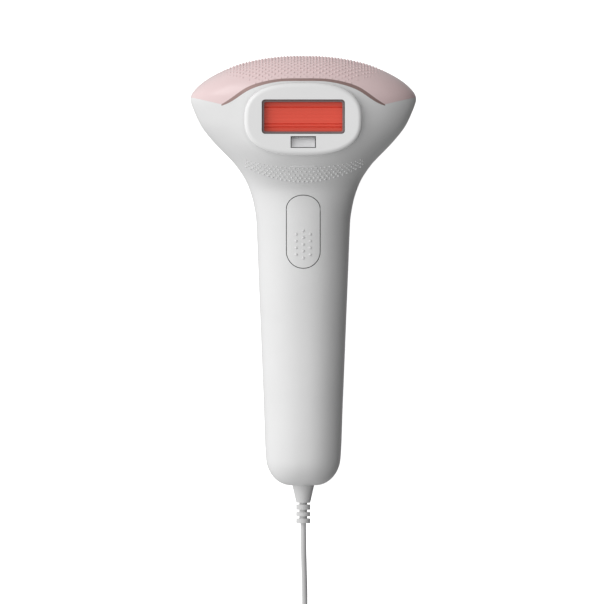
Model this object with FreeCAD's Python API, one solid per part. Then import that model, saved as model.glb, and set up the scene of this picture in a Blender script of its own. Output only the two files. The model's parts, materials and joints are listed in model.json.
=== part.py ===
import FreeCAD, Part
import math
import os
from FreeCAD import Vector

# A corded light-pulse hair remover lying on its back.  Millimetres.  +Z comes out of the light
# window, +Y points from the cord end to the head, the back rests on z = 0 and the origin is
# under the middle of the body.  Stations "u" are distances from the cord end of the handle.

# ---- casing
HANDLE_LENGTH = 104.0        # cord end to where the neck starts to widen
NECK_LENGTH = 51.2           # start of the neck to the wing tips
CROWN_HEIGHT = 16.4          # wing tips to the top of the head
HANDLE_HALF_WIDTH = 14.6
HANDLE_WIDENING = 0.04       # half width gained per millimetre of handle
HEAD_HALF_WIDTH = 45.0
HANDLE_DEPTH = 34.0
HANDLE_DEEPENING = 0.03      # depth gained per millimetre of handle
HEAD_DEPTH = 58.0
PARTING_HEIGHT = 17.0        # height of the widest line along the handle
PARTING_HEIGHT_HEAD = 37.0   # the same at the wing tips
BACK_RELIEF = 1.4            # the back stands clear of the table between its two contacts
END_ROUND = 12.0             # length of the rounded cord end
END_LIFT = 0.15              # the cord end's back starts this far above the table
END_CAP_RADIUS = 5.0         # flat end around the strain relief
WALL = 2.0
GAP = 0.3                    # between pieces that move past each other
FIT = 0.1                    # between pieces that only seat on each other
BODY_LENGTH = HANDLE_LENGTH + NECK_LENGTH + CROWN_HEIGHT
TIP = HANDLE_LENGTH + NECK_LENGTH

# Share of the change from handle to head reached at each share of the neck.
WIDTH_CURVE = [(0, 0), (0.16, 0.038), (0.33, 0.14), (0.47, 0.308), (0.585, 0.518),
               (0.7, 0.728), (0.82, 0.884), (1, 1)]
FRONT_CURVE = [(0, 0), (0.16, 0.01), (0.27, 0.07), (0.36, 0.29), (0.43, 0.55), (0.51, 0.81),
               (0.585, 0.94), (0.67, 0.99), (1, 1)]
PARTING_CURVE = [(0, 0), (0.33, 0.12), (0.6, 0.5), (0.82, 0.86), (1, 1)]
CROWN_SHARES = [0.95, 0.84, 0.66, 0.49, 0.34, 0.21, 0.11, 0.04, 0.006]
CROWN_FALL = 1.515           # shape of the crown's outline from the wing tips to its top
CROWN_FULLNESS = 0.465
CROWN_DEPTH_EXPONENT = 2.2   # shape of the crown's profile from the side
SECTION_POINTS = 36
FRONT_EXPONENT = 2.2
BACK_EXPONENT_HANDLE = 2.2
BACK_EXPONENT_HEAD = 3.0

# ---- cover and accent line
COVER_HUMP = 7.1             # height of the cover's front edge over the plate, above the tips
COVER_DIP_X = 32.5           # where that edge meets the wings
COVER_DIP = 3.1              # how far it dips below the tips there
ACCENT_WIDTH = 1.1
# The edge from the dip to the middle: share of COVER_DIP_X, share of the whole rise, and the
# accent line's width there as a share of ACCENT_WIDTH.
COVER_EDGE = [(1.0, 0.0, 0.5), (0.84, 0.33, 1.4), (0.695, 0.64, 1.4), (0.49, 0.87, 1.15),
              (0.286, 0.98, 1.0), (0.0, 1.0, 1.0)]

# ---- light attachment: a plate that sinks on the skin, and the frame that carries it
WINDOW_BELOW_TIP = 8.2
PLATE_BELOW_WINDOW = 0.9     # the plate's middle lies this far below the window's
PLATE_HALF_WIDTH = 23.4
PLATE_HALF_HEIGHT = 14.4
PLATE_EXPONENT = 2.6
PLATE_PROUD = 2.4            # over the casing's highest point
PLATE_EDGE_RADIUS = 1.8
PLATE_THICKNESS = 1.2
PLATE_TRAVEL = 0.8
PLATE_LEDGE = 1.6            # the plate covers the edge of its hole by this much
GUIDE_WALL = 1.2
GUIDE_HEIGHT = 6.5
FLANGE_THICKNESS = 1.6
WEB_THICKNESS = 1.4
WEB_LENGTH = 10.0
BRIDGE_THICKNESS = 0.8
WINDOW_WIDTH = 31.0
WINDOW_HEIGHT = 11.7
WINDOW_CORNER = 0.7
FRAME_EDGE = 0.65            # width of the dark frame round the glass
FRAME_SUNK = 0.2             # the frame lies this far below the pressed plate's face
NOTCH_WIDTH = 10.0
NOTCH_HEIGHT = 4.6
NOTCH_BELOW_FRAME = 0.95     # web between the window opening and the sensor notch
SENSOR_SUNK = 1.3            # the sensor's ledge lies this far below the plate's face
SENSOR_SLOPE = 1.4           # its lens falls by this much towards the window
SENSOR_LEDGE = 0.7
POST_RADIUS = 1.0            # posts under the plate that stand on its springs
POST_X = 11.0
POST_Y = 9.3
SPRING_LENGTH = 3.3
SPRING_RADIUS = 0.9
SPRING_WIRE = 0.35

# ---- light unit
GLASS_THICKNESS = 2.0
GLASS_MARGIN = 0.3           # edge of the glass hidden under the dark frame
SEAL_THICKNESS = 0.4
SNOUT_WALL = 0.8
LIGHT_BOX_HEIGHT = 30.0
REFLECTOR_WALL = 0.5
LAMP_RADIUS = 2.2
LAMP_ABOVE_SINK = 9.0
FIN_COUNT = 11
FIN_THICKNESS = 1.0
SINK_WIDTH = 34.0
SINK_LENGTH = 24.0
SINK_HEIGHT = 12.0
FAN_SIZE = 30.0
FAN_THICKNESS = 8.0
FAN_FLOOR = 4.5              # height of the fan over the table
FAN_BLADES = 7
SHAFT_RADIUS = 1.0
SHAFT_PLAY = 0.05

# ---- flash button
BUTTON_WIDTH = 13.2
BUTTON_LENGTH = 28.9
BUTTON_TOP_PAST_NECK = 12.1  # the button's upper end lies this far up the neck
BUTTON_TOP_BULGE = 5.3       # height of the half ellipse at the button's upper end
BUTTON_TRAVEL_DEG = 2.0
PIVOT_RADIUS = 0.8
PIVOT_FROM_TOP = 5.6
PIVOT_DEPTH = 4.2            # below the handle's front
STEM_FROM_BOTTOM = 8.0
SWITCH_SIZE = 6.0
SWITCH_HEIGHT = 3.4
SWITCH_DEPTH = 4.0           # top of the flash switch below the handle's front at its cord end
PLUNGER_RADIUS = 1.5
PLUNGER_PROUD = 1.0
PLUNGER_SEATED = 0.8         # length of the plunger inside the switch
EAR_THICKNESS = 2.0
EAR_LENGTH = 3.4

# ---- handle contents
CAPACITOR_RADIUS = 10.5
CAPACITOR_LENGTH = 46.0
CAPACITOR_START = 16.0
BOARD_HALF_WIDTH = 8.5
BOARD_THICKNESS = 1.6
BOARD_HEIGHT = 6.4
TRIGGER_X = -20.0
TRIGGER_BELOW_WINDOW = 14.0
TRIGGER_RADIUS = 3.6
TRIGGER_HEIGHT = 9.0

# ---- screws
SCREW_RADIUS = 1.0
SCREW_HEAD_RADIUS = 1.7
SCREW_SEAT = 3.0             # thickness that the screw's head bears on
BOSS_RADIUS = 2.7

# ---- back of the head and the control panel on the back of the handle
VENT_HALF_WIDTH = 12.0
VENT_HALF_HEIGHT = 12.0
VENT_SLOTS = 7
PANEL_HALF_WIDTH = 6.5
PANEL_LENGTH = 40.0
PANEL_TOP_BELOW_NECK = 2.0
KEY_RADIUS = 4.0
LENS_RADIUS = 0.8
KEY_TRAVEL = 0.5
LEVEL_COUNT = 5

# ---- cord, adapter
RELIEF_LENGTH = 15.2
RELIEF_RADIUS = 4.4
RELIEF_TIP_RADIUS = 2.8
NECK_RADIUS = 3.0
CORD_RADIUS = 1.1
COIL_MID_RADIUS = 12.0
COIL_HALF_WIDTH = 6.6        # of the bundle of turns
COIL_HEIGHT = 8.0
COIL_ROUNDING = 3.0
COIL_CENTRE = (12.0, -76.0)  # x, and the station u of the coil's middle
TIE_THICKNESS = 0.6
TIE_HALF_WIDTH = 2.5
ADAPTER_LENGTH = 58.0
ADAPTER_WIDTH = 42.0
ADAPTER_DEPTH = 28.0
ADAPTER_START = -104.0       # station of the end that the cord enters
PIN_RADIUS = 2.0
PIN_LENGTH = 19.0
PIN_SPACING = 18.6
ADAPTER_SPLIT = 20.0         # height of the joint between its base and its face
# Ribs of the strain relief: near and far distance from the end of the handle.
RELIEF_RIBS = [(7.8, 9.8), (10.8, 12.4), (13.4, RELIEF_LENGTH)]

# Control points of the cord's route: x, station u, z.
CORD_ROUTE = [(0, -RELIEF_LENGTH, 17.0), (0.1, -24.0, 16.7), (0.3, -33.0, 13.6),
              (0.6, -42.0, 8.2), (0.6, -51.0, 3.6), (0.2, -60.0, 1.5), (0, -66.0, 1.15)]
TAIL_ROUTE = [(0, -86.0, 6.0), (0.1, -90.0, 6.4), (0.2, -94.5, 7.4), (0, -99.0, 8.6)]


def along(u):
    """Y of a station."""
    return u - BODY_LENGTH / 2


def eased(table, at):
    """Smooth monotone curve through (position, value) pairs."""
    last = len(table) - 1
    at = min(max(at, table[0][0]), table[last][0])
    k = 0
    while k < last - 1 and at > table[k + 1][0]:
        k += 1
    slope = [(table[i + 1][1] - table[i][1]) / (table[i + 1][0] - table[i][0]) for i in range(last)]

    def tangent(i):
        if i in (0, last) or slope[i - 1] * slope[i] <= 0:
            return 0.0
        return 2 * slope[i - 1] * slope[i] / (slope[i - 1] + slope[i])

    width = table[k + 1][0] - table[k][0]
    t = (at - table[k][0]) / width
    return (table[k][1] * (1 + 2 * t) * (1 - t) ** 2 + tangent(k) * width * t * (1 - t) ** 2
            + table[k + 1][1] * t * t * (3 - 2 * t) - tangent(k + 1) * width * t * t * (1 - t))


def half_width(u):
    handle = HANDLE_HALF_WIDTH + HANDLE_WIDENING * min(u, HANDLE_LENGTH)
    return handle + (HEAD_HALF_WIDTH - handle) * eased(WIDTH_CURVE, (u - HANDLE_LENGTH) / NECK_LENGTH)


def front(u):
    handle = HANDLE_DEPTH + HANDLE_DEEPENING * min(u, HANDLE_LENGTH)
    return handle + (HEAD_DEPTH - handle) * eased(FRONT_CURVE, (u - HANDLE_LENGTH) / NECK_LENGTH)


def parting(u):
    share = eased(PARTING_CURVE, (u - HANDLE_LENGTH) / NECK_LENGTH)
    return PARTING_HEIGHT + (PARTING_HEIGHT_HEAD - PARTING_HEIGHT) * share


def back(u):
    low, high = END_ROUND, HANDLE_LENGTH + 0.7 * NECK_LENGTH
    if not low < u < high:
        return 0.0
    return BACK_RELIEF * math.sin(math.pi * (u - low) / (high - low)) ** 2


def back_exponent(u):
    share = eased(PARTING_CURVE, (u - HANDLE_LENGTH) / NECK_LENGTH)
    return BACK_EXPONENT_HANDLE + (BACK_EXPONENT_HEAD - BACK_EXPONENT_HANDLE) * share


def section(u, half, up, down, middle, exponent):
    """Closed smooth curve across the body: one superellipse above the parting, one below."""
    points = []
    for k in range(SECTION_POINTS):
        angle = 2 * math.pi * k / SECTION_POINTS
        c, s = math.cos(angle), math.sin(angle)
        n = FRONT_EXPONENT if s >= 0 else exponent
        height = up if s >= 0 else down
        scale = (abs(c) ** n + abs(s) ** n) ** (-1 / n)
        points.append(Vector(half * c * scale, along(u), middle + height * s * scale))
    curve = Part.BSplineCurve()
    curve.interpolate(Points=points, PeriodicFlag=True, Parameters=list(range(SECTION_POINTS + 1)))
    return Part.Wire(curve.toShape())


def body_solid(inset):
    """The casing's outer form, or its inner form when inset by the wall."""
    wires = []
    steps = 5
    for k in range(steps + 1):
        angle = math.pi / 2 * k / steps
        u = inset + (END_ROUND - inset) * (1 - math.cos(angle))
        share = math.sin(angle)
        cap = END_CAP_RADIUS - inset / 2
        half = cap + (half_width(END_ROUND) - inset - cap) * share
        up = cap + (front(END_ROUND) - PARTING_HEIGHT - inset - cap) * share
        down = cap + (PARTING_HEIGHT - END_LIFT - inset - cap) * share
        wires.append(section(u, half, up, down, PARTING_HEIGHT, BACK_EXPONENT_HANDLE))
    stations = [END_ROUND + (HANDLE_LENGTH - END_ROUND) * k / 6 for k in range(1, 7)]
    stations += [HANDLE_LENGTH + NECK_LENGTH * k / 14 for k in range(1, 15)]
    for u in stations:
        middle = parting(u)
        wires.append(section(u, half_width(u) - inset, front(u) - inset - middle,
                             middle - back(u) - inset, middle, back_exponent(u)))
    for share in CROWN_SHARES:
        fall = (1 - share) ** CROWN_FALL
        half = (HEAD_HALF_WIDTH - inset) * (1 - fall) ** CROWN_FULLNESS
        depth = (1 - (1 - share) ** CROWN_DEPTH_EXPONENT) ** (1 / CROWN_DEPTH_EXPONENT)
        up = (HEAD_DEPTH - PARTING_HEIGHT_HEAD - inset) * depth
        down = (PARTING_HEIGHT_HEAD - inset) * depth
        u = TIP + (CROWN_HEIGHT - inset) * (1 - share)
        wires.append(section(u, half, up, down, PARTING_HEIGHT_HEAD, BACK_EXPONENT_HEAD))
    return Part.makeLoft(wires, True, False)


def box(x0, x1, u0, u1, z0, z1):
    return Part.makeBox(x1 - x0, u1 - u0, z1 - z0, Vector(x0, along(u0), z0))


def centred_box(x, u, width, length, z0, z1):
    return box(x - width / 2, x + width / 2, u - length / 2, u + length / 2, z0, z1)


def rod_z(x, u, radius, z0, z1):
    return Part.makeCylinder(radius, z1 - z0, Vector(x, along(u), z0))


def rod_x(x0, x1, u, z, radius):
    return Part.makeCylinder(radius, x1 - x0, Vector(x0, along(u), z), Vector(1, 0, 0))


def rod_y(x, u0, u1, z, radius):
    return Part.makeCylinder(radius, u1 - u0, Vector(x, along(u0), z), Vector(0, 1, 0))


def rounded(solid, radius, choose):
    """Fillet the edges of a solid for which choose(edge) is true."""
    return solid.makeFillet(radius, [e for e in solid.Edges if choose(e)])


def is_upright(edge):
    box_of_edge = edge.BoundBox
    return box_of_edge.XLength < 1e-6 and box_of_edge.YLength < 1e-6


def extruded(wire, z0, z1):
    face = Part.Face(wire)
    solid = face.extrude(Vector(0, 0, z1 - z0))
    solid.translate(Vector(0, 0, z0))
    return solid


def oval(inset, z0, z1):
    """Superellipse prism with the outline of the plate, reduced by inset."""
    points = []
    for k in range(SECTION_POINTS):
        angle = 2 * math.pi * k / SECTION_POINTS
        c, s = math.cos(angle), math.sin(angle)
        scale = (abs(c) ** PLATE_EXPONENT + abs(s) ** PLATE_EXPONENT) ** (-1 / PLATE_EXPONENT)
        points.append(Vector((PLATE_HALF_WIDTH - inset) * c * scale,
                             along(PLATE_U) + (PLATE_HALF_HEIGHT - inset) * s * scale, 0))
    curve = Part.BSplineCurve()
    curve.interpolate(Points=points, PeriodicFlag=True)
    return extruded(Part.Wire(curve.toShape()), z0, z1)


def button_outline(inset, z0, z1):
    """Half circle at the lower end, a flatter half ellipse at the upper end."""
    half = BUTTON_WIDTH / 2 - inset
    rise = BUTTON_TOP_BULGE - inset
    low = along(BUTTON_TOP - BUTTON_LENGTH + BUTTON_WIDTH / 2)
    high = along(BUTTON_TOP - BUTTON_TOP_BULGE)
    lower = Part.Arc(Vector(-half, low, 0), Vector(0, low - half, 0), Vector(half, low, 0))
    ellipse = Part.Ellipse(Vector(half, high, 0), Vector(0, high + rise, 0), Vector(0, high, 0))
    upper = Part.ArcOfEllipse(ellipse, 0, math.pi)
    sides = [Part.LineSegment(Vector(half, low, 0), Vector(half, high, 0)),
             Part.LineSegment(Vector(-half, high, 0), Vector(-half, low, 0))]
    wire = Part.Wire([lower.toShape(), sides[0].toShape(), upper.toShape(), sides[1].toShape()])
    return extruded(wire, z0, z1)


WINDOW_U = TIP - WINDOW_BELOW_TIP
PLATE_U = WINDOW_U - PLATE_BELOW_WINDOW
BUTTON_TOP = HANDLE_LENGTH + BUTTON_TOP_PAST_NECK
TOP_Z = HEAD_DEPTH + PLATE_PROUD
OUTER = body_solid(0.0)
INNER = body_solid(WALL)
MIDDLE_FORM = body_solid(WALL / 2)
CASING = OUTER.cut(INNER)


def cover_region(drop, z0, z1):
    """Everything above the cover's front edge, or above a line that is drop further down."""
    reach = HEAD_HALF_WIDTH + 10
    side = along(TIP)
    far = along(BODY_LENGTH + 10)
    rise = COVER_DIP + COVER_HUMP
    right = [Vector(COVER_DIP_X * x, along(TIP - COVER_DIP + rise * height - drop * width), 0)
             for x, height, width in COVER_EDGE]
    left = [Vector(-point.x, point.y, 0) for point in right]
    hump = Part.BSplineCurve()
    hump.interpolate(Points=left + right[-2::-1])
    corners = [right[0], Vector(HEAD_HALF_WIDTH, side, 0), Vector(reach, side, 0),
               Vector(reach, far, 0), Vector(-reach, far, 0), Vector(-reach, side, 0),
               Vector(-HEAD_HALF_WIDTH, side, 0), left[0]]
    edges = [hump.toShape()] + [Part.makeLine(a, b) for a, b in zip(corners, corners[1:])]
    return extruded(Part.Wire(edges), z0, z1)


def parting_tool():
    """Solid above the parting surface, which runs straight across the body."""
    reach = HEAD_HALF_WIDTH + 10
    count = 16
    stations = [HANDLE_LENGTH + NECK_LENGTH * k / count for k in range(count + 1)]
    points = [Vector(-reach, along(u), parting(u)) for u in stations]
    curve = Part.BSplineCurve()
    curve.interpolate(Points=points)
    low_end = Vector(-reach, along(-10), PARTING_HEIGHT)
    high_end = Vector(-reach, along(BODY_LENGTH + 10), PARTING_HEIGHT_HEAD)
    roof = HEAD_DEPTH + 20
    corners = [points[-1], high_end, Vector(-reach, high_end.y, roof),
               Vector(-reach, low_end.y, roof), low_end, points[0]]
    edges = [curve.toShape()] + [Part.makeLine(a, b) for a, b in zip(corners, corners[1:])]
    return Part.Face(Part.Wire(edges)).extrude(Vector(2 * reach, 0, 0))


ROOF = HEAD_DEPTH + 20
ABOVE = parting_tool()
COVER = cover_region(0.0, -5, ROOF)
PLATE_HOLE = oval(PLATE_LEDGE, PARTING_HEIGHT_HEAD + 6, ROOF)
OPENING_WIDTH = WINDOW_WIDTH + 2 * (FRAME_EDGE + GAP)
OPENING_HEIGHT = WINDOW_HEIGHT + 2 * (FRAME_EDGE + GAP)
NOTCH_U = WINDOW_U - OPENING_HEIGHT / 2 - NOTCH_BELOW_FRAME - NOTCH_HEIGHT / 2
FAN_U = WINDOW_U - 3.0


def screw_positions():
    """x, u and z where the rear shell is screwed to the front one."""
    return [(-9.0, 12.0), (9.0, 12.0), (-28.0, TIP - 9.0), (28.0, TIP - 9.0)]


def end_hole():
    """Where the strain relief passes through the end of the handle."""
    return rod_y(0, -1, WALL + 2, PARTING_HEIGHT, NECK_RADIUS)


def top_cover():
    return CASING.common(COVER)


def accent_trim():
    """Thin band along the cover's front edge, between the dips."""
    middle = box(-COVER_DIP_X, COVER_DIP_X, TIP - 20, BODY_LENGTH, PARTING_HEIGHT_HEAD, ROOF)
    band = cover_region(ACCENT_WIDTH, PARTING_HEIGHT_HEAD, ROOF).common(middle)
    return CASING.common(band).cut(COVER)


def pivot_point():
    return BUTTON_TOP - PIVOT_FROM_TOP, front(HANDLE_LENGTH) - PIVOT_DEPTH


def pin_reach():
    """Half length of the button's pivot pin, which ends at the ears' outer faces."""
    return BUTTON_WIDTH / 2 + GAP + EAR_THICKNESS


def front_shell():
    shell = CASING.common(ABOVE).cut(COVER).cut(accent_trim()).cut(PLATE_HOLE)
    shell = shell.cut(button_outline(-GAP, PARTING_HEIGHT + 4, ROOF)).cut(end_hole())
    u, z = pivot_point()
    for side in (-1, 1):
        x = side * (pin_reach() - EAR_THICKNESS / 2)
        ear = centred_box(x, u, EAR_THICKNESS, EAR_LENGTH, z - EAR_LENGTH / 2, ROOF)
        shell = shell.fuse(ear.common(MIDDLE_FORM))
    shell = shell.cut(rod_x(-pin_reach(), pin_reach(), u, z, PIVOT_RADIUS))
    for x, u in screw_positions():
        boss = rod_z(x, u, BOSS_RADIUS, parting(u), ROOF).common(MIDDLE_FORM)
        shell = shell.fuse(boss).cut(rod_z(x, u, SCREW_RADIUS, parting(u) - 1, parting(u) + 6))
    return shell


def rear_shell():
    shell = CASING.cut(ABOVE).cut(COVER).cut(end_hole())
    shell = shell.cut(centred_box(0, FAN_U, 2 * VENT_HALF_WIDTH, 2 * VENT_HALF_HEIGHT, -2, WALL + 2))
    low, high = panel_span()
    shell = shell.cut(centred_box(0, (low + high) / 2, 2 * PANEL_HALF_WIDTH, high - low, -2, 8))
    for x, u in screw_positions():
        boss = rod_z(x, u, BOSS_RADIUS, 0, parting(u)).common(MIDDLE_FORM)
        shell = shell.fuse(boss).cut(rod_z(x, u, SCREW_RADIUS + FIT, -1, parting(u) + 1))
        shell = shell.cut(rod_z(x, u, SCREW_HEAD_RADIUS + FIT, -1, parting(u) - SCREW_SEAT))
    return shell


def housing_screws():
    screws = []
    for x, u in screw_positions():
        seat = parting(u) - SCREW_SEAT
        head = rod_z(x, u, SCREW_HEAD_RADIUS, seat - 1.6, seat)
        screws.append(head.fuse(rod_z(x, u, SCREW_RADIUS, seat, parting(u) + 6)))
    return Part.makeCompound(screws)


# ---- attachment
FACE_UNDER = TOP_Z - PLATE_THICKNESS
GUIDE_BOTTOM = TOP_Z - GUIDE_HEIGHT
GUIDE_INSET = PLATE_LEDGE + GAP
FLANGE_TOP = GUIDE_BOTTOM - PLATE_TRAVEL - GAP
FLANGE_BOTTOM = FLANGE_TOP - FLANGE_THICKNESS
SPRING_TOP = FLANGE_TOP + SPRING_LENGTH
BRIDGE_TOP = FACE_UNDER - PLATE_TRAVEL - GAP
BRIDGE_BOTTOM = BRIDGE_TOP - BRIDGE_THICKNESS
FRAME_TOP = TOP_Z - PLATE_TRAVEL - FRAME_SUNK
GLASS_TOP = BRIDGE_BOTTOM - FIT
GLASS_BOTTOM = GLASS_TOP - GLASS_THICKNESS
GLASS_WIDTH = WINDOW_WIDTH + 2 * GLASS_MARGIN
GLASS_LENGTH = WINDOW_HEIGHT + 2 * GLASS_MARGIN
SNOUT_WIDTH = GLASS_WIDTH + 2 * FIT + 2 * SNOUT_WALL
SNOUT_LENGTH = GLASS_LENGTH + 2 * FIT + 2 * SNOUT_WALL


def at_window(width, length, z0, z1):
    return centred_box(0, WINDOW_U, width, length, z0, z1)


def post_places():
    return [(sx * POST_X, PLATE_U + sy * POST_Y) for sx in (-1, 1) for sy in (-1, 1)]


def attachment_frame():
    """Flange inside the casing, with two webs that carry the window's frame."""
    frame = oval(GUIDE_INSET, FLANGE_BOTTOM, FLANGE_TOP)
    for side in (-1, 1):
        x = side * (SNOUT_WIDTH / 2 + GAP + WEB_THICKNESS / 2)
        web = centred_box(x, WINDOW_U, WEB_THICKNESS, WEB_LENGTH, FLANGE_BOTTOM, BRIDGE_BOTTOM)
        frame = frame.fuse(web)
    frame = frame.cut(at_window(SNOUT_WIDTH + 2 * GAP, SNOUT_LENGTH + 2 * GAP, 0, ROOF))
    return frame.cut(box(-NOTCH_WIDTH / 2, NOTCH_WIDTH / 2, NOTCH_U - NOTCH_HEIGHT / 2, WINDOW_U, 0, ROOF))


def window_frame():
    """Dark collar round the glass, on a bridge that lies on the webs."""
    bridge = at_window(SNOUT_WIDTH, SNOUT_LENGTH, BRIDGE_BOTTOM, BRIDGE_TOP)
    ears = at_window(SNOUT_WIDTH + 2 * (GAP + WEB_THICKNESS), WEB_LENGTH, BRIDGE_BOTTOM, BRIDGE_TOP)
    collar = at_window(WINDOW_WIDTH + 2 * FRAME_EDGE, WINDOW_HEIGHT + 2 * FRAME_EDGE,
                       BRIDGE_BOTTOM, FRAME_TOP)
    collar = rounded(collar, WINDOW_CORNER + FRAME_EDGE / 2, is_upright)
    glass_hole = rounded(at_window(WINDOW_WIDTH, WINDOW_HEIGHT, 0, ROOF), WINDOW_CORNER, is_upright)
    return bridge.fuse(ears).fuse(collar).cut(glass_hole)


def contact_plate():
    """White face round the window, with a guide wall that slides in the casing's hole."""
    plate = oval(0, GUIDE_BOTTOM, TOP_Z)
    plate = rounded(plate, PLATE_EDGE_RADIUS, lambda e: abs(e.BoundBox.ZMin - TOP_Z) < 0.01)
    casing = OUTER.copy()
    casing.translate(Vector(0, 0, PLATE_TRAVEL + GAP))
    plate = plate.cut(casing.cut(oval(GUIDE_INSET, -1, ROOF)))
    plate = plate.cut(oval(GUIDE_INSET + GUIDE_WALL, GUIDE_BOTTOM - 1, FACE_UNDER))
    for x, u in post_places():
        plate = plate.fuse(rod_z(x, u, POST_RADIUS, SPRING_TOP, TOP_Z - PLATE_THICKNESS / 2))
    opening = at_window(OPENING_WIDTH, OPENING_HEIGHT, 0, ROOF)
    plate = plate.cut(rounded(opening, WINDOW_CORNER + FRAME_EDGE, is_upright))
    return plate.cut(centred_box(0, NOTCH_U, NOTCH_WIDTH, NOTCH_HEIGHT, 0, ROOF))


def spring(x, u, z0, z1, radius, wire):
    """Coil spring as a ribbed sleeve: one ridge for each turn."""
    turns = max(2, round((z1 - z0) / (2 * wire)))
    pitch = (z1 - z0) / turns
    points = [Vector(x + radius - wire, along(u), z0), Vector(x + radius - 0.5 * wire, along(u), z0)]
    for k in range(turns):
        points.append(Vector(x + radius, along(u), z0 + (k + 0.5) * pitch))
        points.append(Vector(x + radius - 0.5 * wire, along(u), z0 + (k + 1) * pitch))
    points += [Vector(x + radius - wire, along(u), z1), points[0]]
    face = Part.Face(Part.makePolygon(points))
    return face.revolve(Vector(x, along(u), 0), Vector(0, 0, 1), 360)


def plate_springs():
    return Part.makeCompound([spring(x, u, FLANGE_TOP, SPRING_TOP, SPRING_RADIUS, SPRING_WIRE)
                              for x, u in post_places()])


# ---- light unit
BOX_BOTTOM = GLASS_TOP - LIGHT_BOX_HEIGHT
MOUNT_TOP = FLANGE_BOTTOM - GAP
MOUNT_THICKNESS = 2.0
LAMP_Z = BOX_BOTTOM + LAMP_ABOVE_SINK
INSIDE_WIDTH = WINDOW_WIDTH - 1.0
INSIDE_LENGTH = WINDOW_HEIGHT - 0.6
SEAT = GLASS_BOTTOM - SEAL_THICKNESS


def light_unit_frame():
    """Black box round lamp and reflector, with a seat for the glass and a mounting plate."""
    frame = at_window(SNOUT_WIDTH, SNOUT_LENGTH, BOX_BOTTOM, GLASS_TOP)
    frame = frame.fuse(oval(GAP, MOUNT_TOP - MOUNT_THICKNESS, MOUNT_TOP))
    frame = frame.cut(at_window(GLASS_WIDTH + 2 * FIT, GLASS_LENGTH + 2 * FIT, SEAT, ROOF))
    frame = frame.cut(at_window(INSIDE_WIDTH, INSIDE_LENGTH, BOX_BOTTOM - 1, SEAT + 1))
    frame = frame.cut(rod_x(-SNOUT_WIDTH, SNOUT_WIDTH, WINDOW_U, LAMP_Z, LAMP_RADIUS + GAP))
    return frame.cut(centred_box(0, NOTCH_U, NOTCH_WIDTH, NOTCH_HEIGHT, MOUNT_TOP - 3, MOUNT_TOP + 1))


def filter_glass():
    """Tinted glass in its seat, held down by the window's frame."""
    return at_window(GLASS_WIDTH, GLASS_LENGTH, GLASS_BOTTOM, GLASS_TOP)


def window_seal():
    ring = at_window(GLASS_WIDTH, GLASS_LENGTH, SEAT, GLASS_BOTTOM)
    return ring.cut(at_window(INSIDE_WIDTH, INSIDE_LENGTH, 0, ROOF))


def lamp_reflector():
    """Mirror trough: a half round behind the lamp, then straight sides up to the glass."""
    half = INSIDE_LENGTH / 2 - FIT
    width = INSIDE_WIDTH - 2 * FIT
    top = SEAT - FIT

    def trough(radius):
        round_part = rod_x(-width / 2, width / 2, WINDOW_U, LAMP_Z, radius)
        return round_part.fuse(at_window(width, 2 * radius, LAMP_Z, top))

    return trough(half).cut(trough(half - REFLECTOR_WALL))


def lamp_reach():
    return SNOUT_WIDTH / 2 + 5.0


def flash_lamp():
    half = lamp_reach() - 3
    return rod_x(-half, half, WINDOW_U, LAMP_Z, LAMP_RADIUS)


def lamp_end_caps():
    reach = lamp_reach()
    return Part.makeCompound([rod_x(x, x + 3, WINDOW_U, LAMP_Z, LAMP_RADIUS * 0.8)
                              for x in (-reach, reach - 3)])


def lamp_holders():
    holders = []
    for side in (-1, 1):
        x = side * (SNOUT_WIDTH / 2 + 1.6)
        block = centred_box(x, WINDOW_U, 2.4, 9, LAMP_Z - 5, LAMP_Z + 5)
        holders.append(block.cut(rod_x(x - 3, x + 3, WINDOW_U, LAMP_Z, LAMP_RADIUS)))
    return Part.makeCompound(holders)


def skin_sensor_lens():
    """Light guide of the skin sensor: a sloping face with a flat ledge at its lower end."""
    half = NOTCH_HEIGHT / 2 - GAP
    low, high = along(NOTCH_U - half), along(NOTCH_U + half)
    x = -NOTCH_WIDTH / 2 + GAP
    bottom = MOUNT_TOP - MOUNT_THICKNESS
    ledge = TOP_Z - SENSOR_SUNK
    profile = [Vector(x, low, bottom), Vector(x, low, ledge), Vector(x, low + SENSOR_LEDGE, ledge),
               Vector(x, low + SENSOR_LEDGE, ledge - 0.3), Vector(x, high, ledge - SENSOR_SLOPE),
               Vector(x, high, bottom), Vector(x, low, bottom)]
    face = Part.Face(Part.makePolygon(profile))
    return face.extrude(Vector(NOTCH_WIDTH - 2 * GAP, 0, 0))


def skin_sensor_board():
    top = MOUNT_TOP - MOUNT_THICKNESS
    return centred_box(0, NOTCH_U, NOTCH_WIDTH + 4, NOTCH_HEIGHT - 2 * GAP, top - 1.2, top)


def contact_switches():
    """One small switch below each post of the contact plate, under the mounting plate."""
    top = MOUNT_TOP - MOUNT_THICKNESS
    return Part.makeCompound([centred_box(x, u, 3, 2, top - 2, top) for x, u in post_places()])


def heat_sink():
    base = at_window(SINK_WIDTH, SINK_LENGTH, BOX_BOTTOM - 2, BOX_BOTTOM)
    step = (SINK_WIDTH - FIN_THICKNESS) / (FIN_COUNT - 1)
    for k in range(FIN_COUNT):
        x = -SINK_WIDTH / 2 + FIN_THICKNESS / 2 + k * step
        fin = centred_box(x, WINDOW_U, FIN_THICKNESS, SINK_LENGTH, BOX_BOTTOM - SINK_HEIGHT, BOX_BOTTOM - 1)
        base = base.fuse(fin)
    return base


FAN_TOP = FAN_FLOOR + FAN_THICKNESS
BORE = FAN_SIZE / 2 - 1.0
HUB_RADIUS = 5.5


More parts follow.
